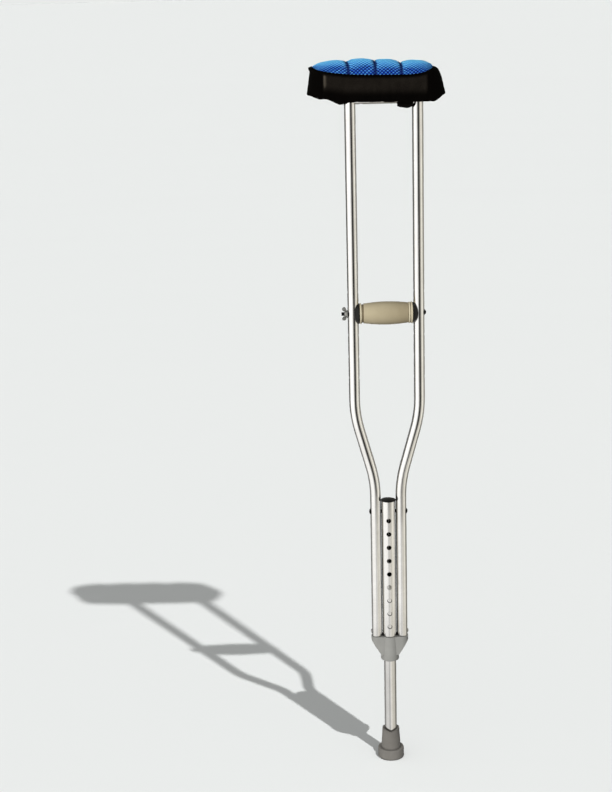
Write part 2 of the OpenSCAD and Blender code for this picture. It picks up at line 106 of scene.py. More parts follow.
def add_modifier(obj, kind, **settings):
    modifier = obj.modifiers.new(kind.title(), kind)
    for key, value in settings.items():
        setattr(modifier, key, value)
    return modifier


def apply_modifiers(obj):
    """Replaces obj's mesh with its evaluated one."""
    depsgraph = bpy.context.evaluated_depsgraph_get()
    mesh = bpy.data.meshes.new_from_object(obj.evaluated_get(depsgraph))
    obj.modifiers.clear()
    obj.data = mesh
    return obj


def coordinates(obj):
    co = np.zeros(len(obj.data.vertices) * 3)
    obj.data.vertices.foreach_get("co", co)
    return co.reshape(-1, 3)


def set_coordinates(obj, co):
    obj.data.vertices.foreach_set("co", np.asarray(co, np.float32).ravel())
    obj.data.update()


def normals(obj):
    n = np.zeros(len(obj.data.vertices) * 3)
    obj.data.vertices.foreach_get("normal", n)
    return n.reshape(-1, 3)


def inflate(obj, hold, pressure, slack, cap, frames=20, stiffness=15.0, bending=0.5):
    """Swells obj as cloth; hold is a pin weight a vertex, slack spare fabric and cap the longest travel."""
    start = coordinates(obj)
    group = obj.vertex_groups.new(name="hold")
    for index, weight in enumerate(hold):
        if weight > 0:
            group.add([index], float(weight), "REPLACE")
    cloth = add_modifier(obj, "CLOTH")
    settings = cloth.settings
    settings.vertex_group_mass = "hold"
    settings.quality = 6
    settings.mass = 0.2
    settings.tension_stiffness = stiffness
    settings.compression_stiffness = stiffness
    settings.shear_stiffness = stiffness / 2
    settings.bending_stiffness = bending
    settings.use_pressure = True
    settings.uniform_pressure_force = pressure
    settings.shrink_min = -slack
    settings.effector_weights.gravity = 0
    cloth.point_cache.frame_start = 1
    cloth.point_cache.frame_end = frames
    cloth.collision_settings.use_self_collision = False
    for step in range(1, frames + 1):
        bpy.context.scene.frame_set(step)
    apply_modifiers(obj)
    bpy.context.scene.frame_set(1)
    travel = coordinates(obj) - start
    length = np.linalg.norm(travel, axis=1, keepdims=True)
    travel *= np.minimum(1, cap / np.maximum(length, 1e-9))
    set_coordinates(obj, start + travel)
    return obj


# ---------------------------------------------------------------- materials

class Graph:
    """A node material with a Principled BSDF at its end, built by short calls."""

    def __init__(self, name):
        self.material = bpy.data.materials.new(name)
        self.material.use_nodes = True
        self.tree = self.material.node_tree
        self.tree.nodes.clear()
        self.shader = self.add("ShaderNodeBsdfPrincipled")
        self.link(self.shader.outputs[0], self.add("ShaderNodeOutputMaterial").inputs["Surface"])

    def add(self, kind, **settings):
        node = self.tree.nodes.new(kind)
        for key, value in settings.items():
            setattr(node, key, value)
        return node

    def link(self, output, socket):
        self.tree.links.new(output, socket)
        return output

    def feed(self, socket, value):
        """Links value if it is an output, or else sets it."""
        if isinstance(value, bpy.types.NodeSocket):
            self.link(value, socket)
        else:
            socket.default_value = value

    def set(self, **inputs):
        for key, value in inputs.items():
            self.feed(self.shader.inputs[key.replace("_", " ")], value)

    def place(self, stretch=(1, 1, 1), kind="Object"):
        """Object or UV coordinates, scaled per axis."""
        mapping = self.add("ShaderNodeMapping")
        mapping.inputs["Scale"].default_value = stretch
        self.link(self.add("ShaderNodeTexCoord").outputs[kind], mapping.inputs["Vector"])
        return mapping.outputs[0]

    def noise(self, scale, detail=3, roughness=0.5, stretch=(1, 1, 1), kind="Object"):
        node = self.add("ShaderNodeTexNoise")
        node.inputs["Scale"].default_value = scale
        node.inputs["Detail"].default_value = detail
        node.inputs["Roughness"].default_value = roughness
        self.link(self.place(stretch, kind), node.inputs["Vector"])
        return node.outputs[0]

    def cells(self, scale, stretch=(1, 1, 1), kind="Object"):
        """Distance to the nearest of the scattered cell centres."""
        node = self.add("ShaderNodeTexVoronoi")
        node.inputs["Scale"].default_value = scale
        self.link(self.place(stretch, kind), node.inputs["Vector"])
        return node.outputs["Distance"]

    def math(self, operation, a, b=0.0):
        node = self.add("ShaderNodeMath", operation=operation)
        self.feed(node.inputs[0], a)
        self.feed(node.inputs[1], b)
        return node.outputs[0]

    def span(self, value, low, high, to_low=0.0, to_high=1.0):
        """Maps value from low..high to to_low..to_high, clamped."""
        node = self.add("ShaderNodeMapRange")
        for key, v in zip(("Value", "From Min", "From Max", "To Min", "To Max"),
                          (value, low, high, to_low, to_high)):
            self.feed(node.inputs[key], v)
        return node.outputs[0]

    def mix(self, factor, a, b):
        """A colour between a and b, each a colour or an output."""
        node = self.add("ShaderNodeMix", data_type="RGBA")
        self.feed(node.inputs["Factor"], factor)
        for socket, value in ((node.inputs[6], a), (node.inputs[7], b)):
            self.feed(socket, value if isinstance(value, bpy.types.NodeSocket) else (*value, 1.0))
        return node.outputs[2]

    def painted_crevice_shade(self, reach, shut, clear, most):
        """How much painted shade a point gets, 0 on open faces and up to most in corners narrower than
        reach.
        """
        node = self.add("ShaderNodeAmbientOcclusion", samples=8)
        node.inputs["Distance"].default_value = reach
        return self.span(node.outputs["AO"], shut, clear, most, 0.0)

    def bump(self, height, distance, strength=1.0, before=None):
        node = self.add("ShaderNodeBump")
        node.inputs["Strength"].default_value = strength
        node.inputs["Distance"].default_value = distance
        self.link(height, node.inputs["Height"])
        if before is not None:
            self.link(before, node.inputs["Normal"])
        return node.outputs[0]


def metal(name, dark, light, roughness, grain=(1, 1, 1), grain_scale=900, grain_depth=4e-6):
    """Bare metal: cloudy tone, draw lines that run along the axis whose grain factor is small, and painted
    shade in the narrow gaps between parts.
    """
    g = Graph(name)
    lines = g.noise(grain_scale, 2, 0.6, grain)
    clouds = g.noise(28, 4, 0.6)
    handled = g.noise(9, 5, 0.7)
    tone = g.mix(g.span(clouds, 0.3, 0.7), dark, light)
    # painted shade: darkens the metal where ambient occlusion finds a narrow gap, as between the tubes
    tone = g.mix(g.painted_crevice_shade(0.0045, 0.32, 0.78, 0.94), tone, (0.035, 0.033, 0.030))
    rough = g.span(lines, 0.25, 0.75, roughness * 0.75, roughness * 1.3)
    smudge = g.span(handled, 0.52, 0.75, 0, 0.10)
    g.set(Base_Color=tone, Metallic=1.0, Roughness=g.math("ADD", rough, smudge),
          Normal=g.bump(lines, grain_depth))
    return g.material


def moulded(name, dark, light, roughness, grain_scale=1500, grain_depth=3e-5, sheen=0.0, gloss=0.5):
    """Moulded plastic or rubber: fine pitted skin, faint flow marks, dust, and painted shade in its corners.
    """
    g = Graph(name)
    pits = g.noise(grain_scale, 3, 0.65)
    flow = g.noise(22, 4, 0.55)
    dust = g.noise(140, 3, 0.6)
    tone = g.mix(g.span(flow, 0.3, 0.72), dark, light)
    tone = g.mix(g.span(dust, 0.55, 0.8, 0, 0.25), tone, light)
    # painted shade: darker in corners and hollows found by ambient occlusion
    tone = g.mix(g.painted_crevice_shade(0.004, 0.45, 0.95, 0.7), tone, tuple(0.35 * v for v in dark))
    g.set(Base_Color=tone, Roughness=g.span(flow, 0.3, 0.7, roughness * 0.9, min(1.0, roughness * 1.12)),
          Normal=g.bump(g.math("ADD", pits, g.math("MULTIPLY", flow, 0.5)), grain_depth))
    g.set(Sheen_Weight=sheen, Specular_IOR_Level=gloss)
    return g.material


def handled_rubber():
    """Tan rubber of the grip: pitted, with painted light that makes it paler at its left end and browner at
    its right, painted shade in the recess at its left end, and painted shade in its crevices.
    """
    g = Graph("grip_rubber")
    pits = g.noise(1300, 3, 0.65)
    flow = g.noise(24, 4, 0.6)
    across = g.add("ShaderNodeSeparateXYZ")
    g.link(g.place(), across.inputs[0])
    # painted light: the grip goes from paler at its left end to browner at its right, as under a light from
    # the left, with a random mottle mixed in
    painted_side_light = g.math("ADD", g.span(across.outputs["X"], -0.040, 0.042), g.span(flow, 0.25, 0.75, -0.2, 0.2))
    tone = g.mix(painted_side_light, (0.435, 0.375, 0.250), (0.285, 0.237, 0.147))
    ends = g.span(g.math("ABSOLUTE", across.outputs["X"]), 0.0383, 0.0390)
    tone = g.mix(ends, tone, (0.580, 0.515, 0.370))
    # painted shade: a dark band in the recess beside the left end's bead
    groove = g.math("MULTIPLY", g.span(across.outputs["X"], -0.0426, -0.0421),
                    g.span(across.outputs["X"], -0.0392, -0.0386, 1, 0))
    tone = g.mix(groove, tone, (0.190, 0.150, 0.088))
    tone = g.mix(g.span(pits, 0.55, 0.8, 0, 0.25), tone, (0.48, 0.42, 0.29))
    # painted shade: darker in crevices found by ambient occlusion
    tone = g.mix(g.painted_crevice_shade(0.003, 0.45, 0.85, 0.9), tone, (0.100, 0.078, 0.042))
    g.set(Base_Color=tone, Roughness=g.span(flow, 0.3, 0.7, 0.52, 0.66),
          Normal=g.bump(g.math("ADD", pits, g.math("MULTIPLY", flow, 0.5)), 4e-5))
    return g.material


def knit_black():
    """Black stretch knit: fine diagonal ribs with lint and a dull sheen."""
    g = Graph("knit_black")
    uv = g.place((1, 1, 1), "UV")
    wave = g.add("ShaderNodeTexWave", wave_type="BANDS", bands_direction="DIAGONAL")
    wave.inputs["Scale"].default_value = 330
    wave.inputs["Distortion"].default_value = 1.6
    wave.inputs["Detail"].default_value = 2
    wave.inputs["Detail Scale"].default_value = 2
    g.link(uv, wave.inputs["Vector"])
    loops = g.cells(1500, (1, 1.4, 1), kind="UV")
    lint = g.noise(420, 4, 0.7)
    patches = g.noise(40, 4, 0.6)
    wear_and_painted_light = g.add("ShaderNodeAttribute", attribute_name="wear_and_painted_light").outputs["Fac"]
    rib = g.span(wave.outputs["Fac"], 0.1, 0.9)
    tone = g.mix(rib, (0.0006, 0.0005, 0.0004), (0.0022, 0.0017, 0.0014))
    rubbed = g.mix(rib, (0.0030, 0.0024, 0.0018), (0.0135, 0.0110, 0.0090))
    # the attribute read here holds wear on the front panel, a painted highlight along its left seam and
    # painted shade near the foot
    tone = g.mix(g.span(wear_and_painted_light, 0.0, 0.5), tone, rubbed)
    # painted highlight: the pale strip along the front panel's left seam
    tone = g.mix(g.span(wear_and_painted_light, 0.5, 1.0, 0, 0.8), tone, (0.098, 0.084, 0.066))
    tone = g.mix(g.math("MULTIPLY", g.span(lint, 0.60, 0.78, 0, 0.5), wear_and_painted_light), tone, (0.060, 0.053, 0.044))
    tone = g.mix(g.math("MULTIPLY", g.span(patches, 0.35, 0.75, 0, 0.5), wear_and_painted_light), tone, (0.022, 0.019, 0.015))
    height = g.math("ADD", g.math("MULTIPLY", wave.outputs["Fac"], 0.6), loops)
    soft = g.bump(patches, 0.0012, 0.35)
    g.set(Base_Color=tone, Roughness=g.span(lint, 0.3, 0.7, 0.68, 0.9),
          Normal=g.bump(height, 0.00022, 0.8, soft))
    g.set(Sheen_Weight=0.008, Sheen_Roughness=0.45, Sheen_Tint=(0.55, 0.50, 0.44, 1))
    g.set(Specular_IOR_Level=0.02)
    return g.material


def spacer_mesh():
    """Blue spacer mesh: pores sunk between lighter threads, with painted light that makes it pale where it
    faces up and deep blue where it faces down, and painted shade in its quilting seams.
    """
    g = Graph("spacer_mesh")
    pore = g.add("ShaderNodeAttribute", attribute_name="pore").outputs["Fac"]
    fibres = g.noise(2600, 3, 0.7)
    stain = g.noise(35, 4, 0.6)
    up = g.add("ShaderNodeSeparateXYZ")
    g.link(g.add("ShaderNodeNewGeometry").outputs["Normal"], up.inputs[0])
    # painted light: lit and shaded copies of the threads and pores, mixed by how far the surface faces up
    painted_top_light = g.span(up.outputs["Z"], 0.12, 0.98)
    thread = g.mix(painted_top_light, (0.004, 0.044, 0.42), (0.240, 0.790, 1.0))
    well = g.mix(painted_top_light, (0.0004, 0.0030, 0.060), (0.040, 0.300, 0.86))
    tone = g.mix(g.span(pore, 0.25, 0.75), thread, well)
    tone = g.mix(g.span(fibres, 0.55, 0.8, 0, 0.10), tone, (0.16, 0.46, 0.86))
    tone = g.mix(g.span(stain, 0.45, 0.8, 0, 0.18), tone, (0.012, 0.10, 0.42))
    # painted shade: the dark walls of the quilting seams, stored by quilted_mesh
    groove = g.add("ShaderNodeAttribute", attribute_name="groove").outputs["Fac"]
    tone = g.mix(g.math("MULTIPLY", groove, 0.97), tone, (0.001, 0.005, 0.080))
    g.set(Base_Color=tone, Roughness=g.span(pore, 0, 1, 0.55, 0.85),
          Normal=g.bump(g.math("SUBTRACT", g.math("MULTIPLY", fibres, 0.35), pore), 0.00025, 0.7))
    g.set(Sheen_Weight=0.04, Sheen_Roughness=0.35, Sheen_Tint=(0.35, 0.62, 1.0, 1))
    g.set(Specular_IOR_Level=0.08)
    return g.material


def open_foam():
    """Pale open-cell foam."""
    g = Graph("open_foam")
    cell = g.cells(900)
    tint = g.noise(30, 3)
    tone = g.mix(g.span(cell, 0.1, 0.6), (0.28, 0.25, 0.16), (0.66, 0.62, 0.47))
    tone = g.mix(g.span(tint, 0.4, 0.8, 0, 0.4), tone, (0.52, 0.45, 0.28))
    g.set(Base_Color=tone, Roughness=0.95, Normal=g.bump(cell, 0.0006))
    return g.material


def thread(name, dark, light):
    """Sewing thread: twisted filaments."""
    g = Graph(name)
    twist = g.noise(5200, 2, 0.6)
    tone = g.mix(g.span(twist, 0.3, 0.7), dark, light)
    g.set(Base_Color=tone, Roughness=0.6, Normal=g.bump(twist, 5e-5))
    return g.material


ALONG_Z, ALONG_X = (1, 1, 0.012), (0.012, 1, 1)
FINISH = {
    "aluminium_z": metal("aluminium_z", (0.80, 0.79, 0.77), (0.90, 0.895, 0.88), 0.13, ALONG_Z),
    "aluminium_x": metal("aluminium_x", (0.80, 0.79, 0.77), (0.90, 0.895, 0.88), 0.13, ALONG_X),
    "steel": metal("steel", (0.36, 0.36, 0.34), (0.60, 0.59, 0.56), 0.30, (1, 1, 1), 500, 1.5e-5),
    "zinc_dull": metal("zinc_dull", (0.26, 0.265, 0.25), (0.48, 0.48, 0.455), 0.40, (1, 1, 1), 400, 3e-5),
    "dark_steel": metal("dark_steel", (0.018, 0.018, 0.02), (0.05, 0.05, 0.052), 0.38, (1, 1, 1), 600, 2e-5),
    "black_plastic": moulded("black_plastic", (0.002, 0.002, 0.002), (0.008, 0.008, 0.007), 0.24,
                             gloss=0.22),
    "grey_plastic": moulded("grey_plastic", (0.252, 0.252, 0.240), (0.324, 0.324, 0.310), 0.52),
    "tip_rubber": moulded("tip_rubber", (0.155, 0.145, 0.132), (0.225, 0.214, 0.198), 0.72, 1100, 6e-5),
    "grip_rubber": handled_rubber(),
    "pad_rubber": moulded("pad_rubber", (0.10, 0.095, 0.085), (0.17, 0.16, 0.145), 0.75, 1000, 6e-5),
    "knit_black": knit_black(),
    "spacer_mesh": spacer_mesh(),
    "open_foam": open_foam(),
    "blue_thread": thread("blue_thread", (0.003, 0.015, 0.12), (0.02, 0.08, 0.35)),
}
NODE_FINISH = {
    "left_upright": "aluminium_z", "right_upright": "aluminium_z", "outer_leg_tube": "aluminium_z",
    "leg_tube": "aluminium_z", "top_crossbar": "aluminium_x",
    "collar_rivets": "aluminium_x", "saddle_screws": "steel", "plain_washer": "steel",
    "tip_washer": "steel", "button_clip": "steel", "snap_button": "steel", "wing_nut": "zinc_dull",
    "clamp_rivet": "dark_steel", "grip_bolt": "dark_steel",
    "outer_tube_cap": "black_plastic", "grip_saddle_left": "black_plastic",
    "grip_saddle_right": "black_plastic", "grip_core": "black_plastic",
    "collar": "grey_plastic", "underarm_saddle": "grey_plastic",
    "rubber_tip": "tip_rubber", "grip_sleeve": "grip_rubber", "underarm_pad": "pad_rubber",
}


def dress(obj, finish):
    """Gives obj one of the finishes and nothing else."""
    obj.data.materials.clear()
    obj.data.materials.append(FINISH[finish])
    return obj


# ---------------------------------------------------------------- quilted cushion

def along(x):
    """Where x lies between the ends of the sewn edge, from -1 to 1."""
    middle, half = (SEAM_LEFT + SEAM_RIGHT) / 2, (SEAM_RIGHT - SEAM_LEFT) / 2
    return np.clip((np.asarray(x, float) - middle) / half, -1, 1)


def seam_height(x):
    """Height of the sewn edge, which climbs early at the left end and late at the right."""
    t = along(x)
    left = 9.5 * np.maximum(0, -t) ** 2.6 + 2.5 * np.maximum(0, -t) ** 26
    right = 12.0 * np.maximum(0, t) ** 6
    return SEAM_Z - 0.02 * np.asarray(x, float) + left + right


def seam_depth(x):
    """Half the cushion's depth at the sewn edge, closing in a blunt round at both ends."""
    return SEAM_DEPTH * np.sqrt(np.maximum(0, 1 - np.abs(along(x)) ** 8))


def seam_shift(a):
    """Share of its slant that a seam has moved at a, fast near the crest and slow near the edge."""
    return 1 - (1 - abs(a)) ** 1.7


def lobe_profile(x, slide):
    """Crest height at x with the seams moved by slide, and how swollen the lobe is, 0 in a seam to 1."""
    shift = math.copysign(seam_shift(slide), slide)
    edges = [SEAM_LEFT, *(q + slant * shift for q, slant in zip(QUILT_X, QUILT_SLANT)), SEAM_RIGHT]
    k = next((k for k in range(3) if x <= edges[k + 1]), 3)
    t = min(1.0, max(0.0, (x - edges[k]) / (edges[k + 1] - edges[k])))
    lean = math.log(0.5) / math.log(LOBE_LEAN[k])
    swell = (4 * (t ** lean) * (1 - t ** lean)) ** 0.5
    base = GROOVE_Z[k] + (GROOVE_Z[k + 1] - GROOVE_Z[k]) * t
    return base + LOBE_SWELL[k] * swell, (4 * t * (1 - t)) ** 0.5


def mesh_point(x, a):
    """A point of the mesh, a running from -1 at the front seam over the crest to 1 at the back, in mm."""
    angle = a * math.pi / 2
    crest, puff = lobe_profile(x, -a)
    low = float(seam_height(x))
    tuft = 1 - puff if SEAM_LEFT + END_ZONE < x < SEAM_RIGHT - END_ZONE else 0.0
    power = 2 / (LOBE_SQUARENESS + (SEAM_SQUARENESS - LOBE_SQUARENESS) * tuft)
    half = float(seam_depth(x))
    s, c = abs(math.sin(angle)) ** power, max(0.0, math.cos(angle)) ** power
    pinch = SEAM_PINCH * max(0.0, 1 - 2.2 * puff) * math.sin(math.pi * min(1.0, abs(a) * 1.05)) ** 0.8
    bulge = LOBE_BULGE * puff * math.sin(math.pi * abs(a)) ** 1.5
    y = math.copysign(half * s + bulge - pinch, a)
    return x, y, low + (crest - low) * c, puff


def seam_shade(x, a):
    """How much painted shade a point gets from the quilting seams, 0 to 1: it reaches further along a seam's
    left wall than its right, as with light from the left.
    """
    shade = 0.0
    for q, slant in zip(QUILT_X, QUILT_SLANT):
        off = x - (q - slant * math.copysign(seam_shift(a), a))
        clear = smooth(0.8, 8.0, -off) if off < 0 else smooth(0.3, 3.0, off)
        shade = max(shade, 1 - float(clear))
    return shade


def mesh_columns(count):
    """Places along the sewn edge, closer together towards its ends."""
    shares = [-math.cos(math.pi * (0.04 + 0.92 * j / (count - 1))) for j in range(count)]
    spread = shares[-1] - shares[0]
    return [SEAM_LEFT + (share - shares[0]) / spread * (SEAM_RIGHT - SEAM_LEFT) for share in shares]


def quilted_mesh():
    """The blue mesh in four lobes, swollen as cloth between its sewn edge and the quilting seams."""
    columns, rows = 203, 45
    half_girth = 0.036
    verts, uvs, hold, painted_seam_shades = [], [], [], []
    for i in range(rows):
        a = -1 + 2 * i / (rows - 1)
        for j, x in enumerate(mesh_columns(columns)):
            px, py, pz, puff = mesh_point(x, a)
            verts.append((px * MM, py * MM, pz * MM))
            uvs.append((px * MM, a * half_girth))
            edge = i in (0, rows - 1) or j in (0, columns - 1)
            # painted shade in the quilting seams, left out near the ends
            near_end = min(px - SEAM_LEFT, SEAM_RIGHT - px) < UNSHADED_END
            painted_seam_shades.append(0.0 if near_end else seam_shade(x, a))
            hold.append(1.0 if edge or puff < 0.30 else 0.0)
    obj = make_object("quilted_mesh", verts, grid_faces(rows, columns), uvs)
    # the painted seam shade goes to the spacer mesh as its groove attribute
    groove = obj.data.attributes.new("groove", "FLOAT", "POINT")
    groove.data.foreach_set("value", painted_seam_shades)
    inflate(obj, hold, pressure=1.2, slack=0.03, cap=2.0 * MM)
    return obj


def weave_pores(obj, wide=0.0062, long=0.0048, depth=0.0008):
    """Sinks staggered rows of pores into obj, and stores how deep each vertex lies as "pore"."""
    add_modifier(obj, "SUBSURF", levels=2, render_levels=2)
    apply_modifiers(obj)
    uv = np.zeros(len(obj.data.loops) * 2)
    obj.data.uv_layers[0].data.foreach_get("uv", uv)
    index = np.zeros(len(obj.data.loops), int)
    obj.data.loops.foreach_get("vertex_index", index)
    at = np.zeros((len(obj.data.vertices), 2))
    at[index] = uv.reshape(-1, 2)
    wave = np.cos(2 * math.pi * at[:, 0] / wide) * np.cos(2 * math.pi * at[:, 1] / long)
    pore = smooth(-0.45, 0.35, wave)
    attribute = obj.data.attributes.new("pore", "FLOAT", "POINT")
    attribute.data.foreach_set("value", pore.astype(np.float32))
    set_coordinates(obj, coordinates(obj) - normals(obj) * (pore * depth)[:, None])
    obj.data.polygons.foreach_set("use_smooth", [True] * len(obj.data.polygons))
    return obj


def foam_lobe(index):
    """Foam under one lobe: the mesh's shape, about 3 mm smaller, closed by a flat underside."""
    edges = (SEAM_LEFT, *QUILT_X, SEAM_RIGHT)
    slants = (0.0, *QUILT_SLANT, 0.0)
    side_gap, top_gap, narrower = 3.5, 3.2, 0.86
    lowest, underside = SEAM_Z + 2.5, SEAM_Z + 1.8
    x0, x1 = edges[index] + side_gap, edges[index + 1] - side_gap
    columns, rows, reach = 25, 21, 0.93
    verts = []
    for i in range(rows):
        a = -reach + 2 * reach * i / (rows - 1)
        for j in range(columns):
            u = j / (columns - 1)
            px, py, pz, _ = mesh_point(x0 + (x1 - x0) * u, a)
            slide = -a * (slants[index] * (1 - u) + slants[index + 1] * u)
            verts.append(((px + slide) * MM, py * narrower * MM, max(pz - top_gap, lowest) * MM))
    faces = grid_faces(rows, columns)
    rim = (list(range(columns)) + [i * columns + columns - 1 for i in range(1, rows)]
           + [(rows - 1) * columns + j for j in range(columns - 2, -1, -1)]
           + [i * columns for i in range(rows - 2, 0, -1)])
    base = len(verts)
    verts += [(verts[r][0], verts[r][1], underside * MM) for r in rim]
    for k in range(len(rim)):
        n = (k + 1) % len(rim)
        faces.append((rim[n], rim[k], base + k, base + n))
    faces.append(tuple(range(base + len(rim) - 1, base - 1, -1)))
    return make_object(f"foam_lobe_{index + 1}", verts, faces)


def stitch_run(name, path, length, thick, gap, finish):
    """A row of short thread capsules along a path of points in metres."""
    mesh = bmesh.new()
    points = [Vector(p) for p in path]
    lengths = [0.0]
    for a, b in zip(points, points[1:]):
        lengths.append(lengths[-1] + (b - a).length)

    def at(s):
        last = len(points) - 2
        k = next((k for k in range(last) if s <= lengths[k + 1]), last)
        span = max(lengths[k + 1] - lengths[k], 1e-9)
        return points[k].lerp(points[k + 1], (s - lengths[k]) / span)

    s = gap
    while s + length < lengths[-1]:
        a, b = at(s), at(s + length)
        turn = (b - a).to_track_quat("Z", "Y").to_matrix().to_4x4()
        placed = Matrix.Translation((a + b) / 2) @ turn @ Matrix.Diagonal((thick, thick, length / 2, 1))
        bmesh.ops.create_icosphere(mesh, subdivisions=2, radius=1.0, matrix=placed)
        s += length + gap
    data = bpy.data.meshes.new(name)
    mesh.to_mesh(data)
    mesh.free()
    data.polygons.foreach_set("use_smooth", [True] * len(data.polygons))
    obj = bpy.data.objects.new(name, data)
    bpy.context.scene.collection.objects.link(obj)
    return dress(obj, finish)


# ---------------------------------------------------------------- black sleeve

SLEEVE_LEFT, SLEEVE_RIGHT = -128.0, 103.0    # its ends at the bottom
SLEEVE_FOOT = 1205.4                         # its lower edge half way along
PANEL_SEAMS = (-102.0, 73.0)                 # where the front panel is sewn to the end panels
PANEL_STEP, SEAM_WIDTH = 1.6, 1.8            # how proud the front panel stands, and its seams' width
# Stages of the sleeve's section, from under the mesh down to the hem beside the slot:
# (left end, right end, half depth, share of the way from the sewn edge to the foot, lift in mm)
SLEEVE_STAGES = (
    (-116.0, 79.5, 23.5, 0.0, -3.4),
    (-118.8, 82.6, 26.0, 0.0, -0.9),
    (-121.0, 85.0, 27.2, 0.0, 0.9),
    (-124.6, 88.4, 28.3, 0.0, -0.9),
    (-124.2, 91.2, 28.9, 0.0, -4.4),
    (-122.3, 94.4, 29.2, 0.20, 0.0),
    (-124.0, 98.0, 29.3, 0.45, 0.0),
    (-125.6, 100.2, 29.1, 0.68, 0.0),
    (-127.4, 102.6, 28.6, 0.90, 0.0),
    (-127.6, 102.8, 27.8, 1.0, 1.0),
    (-126.0, 101.2, 26.2, 1.0, 0.0),
    (-121.0, 97.0, 20.5, 1.0, 0.3),
    (-115.5, 91.5, 14.2, 1.0, 0.6),
    (-114.6, 90.6, 13.3, 1.0, 1.6),
    (-114.8, 90.8, 13.5, 1.0, 4.2),
)


def stadium_point(t, left, right, r):
    """A point at share t round a bar with round ends, starting at the front middle, going to +X."""
    straight = right - left - 2 * r
    total = 2 * straight + 2 * math.pi * r
    s = (t % 1.0) * total
    middle = (left + right) / 2
    for length, kind in ((straight / 2, "front"), (math.pi * r, "right"), (straight, "back"),
                         (math.pi * r, "left"), (straight / 2, "front2")):
        if s <= length:
            break
        s -= length
    if kind == "front":
        return middle + s, -r
    if kind == "right":
        a = -math.pi / 2 + s / r
        return right - r + r * math.cos(a), r * math.sin(a)
    if kind == "back":
        return right - r - s, r
    if kind == "left":
        a = math.pi / 2 + s / r
        return left + r + r * math.cos(a), r * math.sin(a)
    return left + r + s, -r


def sleeve_foot(x):
    """Height of the lower edge: it climbs early at the left and late at the right."""
    left = 5.0 * smooth(-60, -100, x) + 5.0 * smooth(-104, SLEEVE_LEFT, x)
    right = 10.5 * smooth(SLEEVE_RIGHT - 22, SLEEVE_RIGHT + 2, x)
    return SLEEVE_FOOT - 0.014 * x + float(left + right)


def sleeve_stage_point(t, stage):
    left, right, r, share, lift = stage
    x, y = stadium_point(t, left, right, r)
    edge_x = min(max(x, SEAM_LEFT + 0.5), SEAM_RIGHT - 0.5)
    top = float(seam_height(edge_x))
    return np.array((x, y, top + (sleeve_foot(x) - top) * share + lift))


def sleeve():
    """The black sleeve, swollen as cloth between its rim and its hem, then sewn and given its thickness."""
    around, per_stage = 264, 3
    girth, row_height = 0.572, 0.0017
    last = len(SLEEVE_STAGES) - 1
    rim_stages, hem_stages = range(0, 3), range(11, last)
    rows = [(k, step / per_stage) for k in range(last) for step in range(per_stage)] + [(last - 1, 1.0)]
    verts, uvs, hold = [], [], []
    for row, (k, f) in enumerate(rows):
        for j in range(around):
            t = j / around
            near = [SLEEVE_STAGES[min(max(k + n, 0), last)] for n in (-1, 0, 1, 2)]
            verts.append(catmull([sleeve_stage_point(t, stage) for stage in near], f) * MM)
            uvs.append((t * girth, row * row_height))
            hold.append(1.0 if k in rim_stages or k in hem_stages else 0.0)
    faces = [face[::-1] for face in grid_faces(len(rows), around, wrap=True)]
    obj = make_object("cushion_sleeve", verts, faces, uvs)
    inflate(obj, hold, pressure=0.5, slack=0.02, cap=2.2 * MM, bending=3.0)
    sew_panels(obj)
    add_modifier(obj, "SOLIDIFY", thickness=2.2 * MM, offset=-1, use_even_offset=True)
    add_modifier(obj, "SUBSURF", levels=1, render_levels=1)
    return apply_modifiers(obj)


def catmull(p, f):
    """A Catmull-Rom point at share f between p[1] and p[2]."""
    return 0.5 * (2 * p[1] + (p[2] - p[0]) * f + (2 * p[0] - 5 * p[1] + 4 * p[2] - p[3]) * f * f
                  + (3 * p[1] - p[0] - 3 * p[2] + p[3]) * f ** 3)


def sew_panels(obj):
    """Pushes the long panels proud of the end panels, pulls in their seams and stores where the front panel
    is worn, with a painted highlight along its left seam and painted shade near the foot.
    """
    co, n = coordinates(obj), normals(obj)
    x = co[:, 0] / MM
    z = co[:, 2] / MM
    low, high = np.array([sleeve_foot(v) for v in x]), seam_height(x)
    wall = smooth(low + 1, low + 12, z) * (1 - smooth(high - 7, high - 2, z))
    # painted shade: low down near the foot the front panel keeps its darkest tone
    lit = smooth(low + 11, low + 25, z)
    side = smooth(20, 26, np.abs(co[:, 1]) / MM)
    first, second = PANEL_SEAMS
    panel = smooth(first - 0.5, first + 3, x) * (1 - smooth(second - 3, second + 0.5, x))
    groove = sum(np.exp(-((x - s) / SEAM_WIDTH) ** 2) for s in PANEL_SEAMS)
    push = PANEL_STEP * (panel - groove) * wall * side
    set_coordinates(obj, co + n * (push * MM)[:, None])
    wear_and_painted_light = obj.data.attributes.new("wear_and_painted_light", "FLOAT", "POINT")
    middle = panel * wall * side
    # painted highlight: a pale strip along the left seam's proud edge, as where light from the left catches
    # it
    edge = panel * (1 - smooth(first + 2.5, first + 7.5, x)) * wall * side
    wear_and_painted_light.data.foreach_set("value", ((0.5 * middle + 0.5 * edge) * lit).astype(np.float32))


# ---------------------------------------------------------------- straps

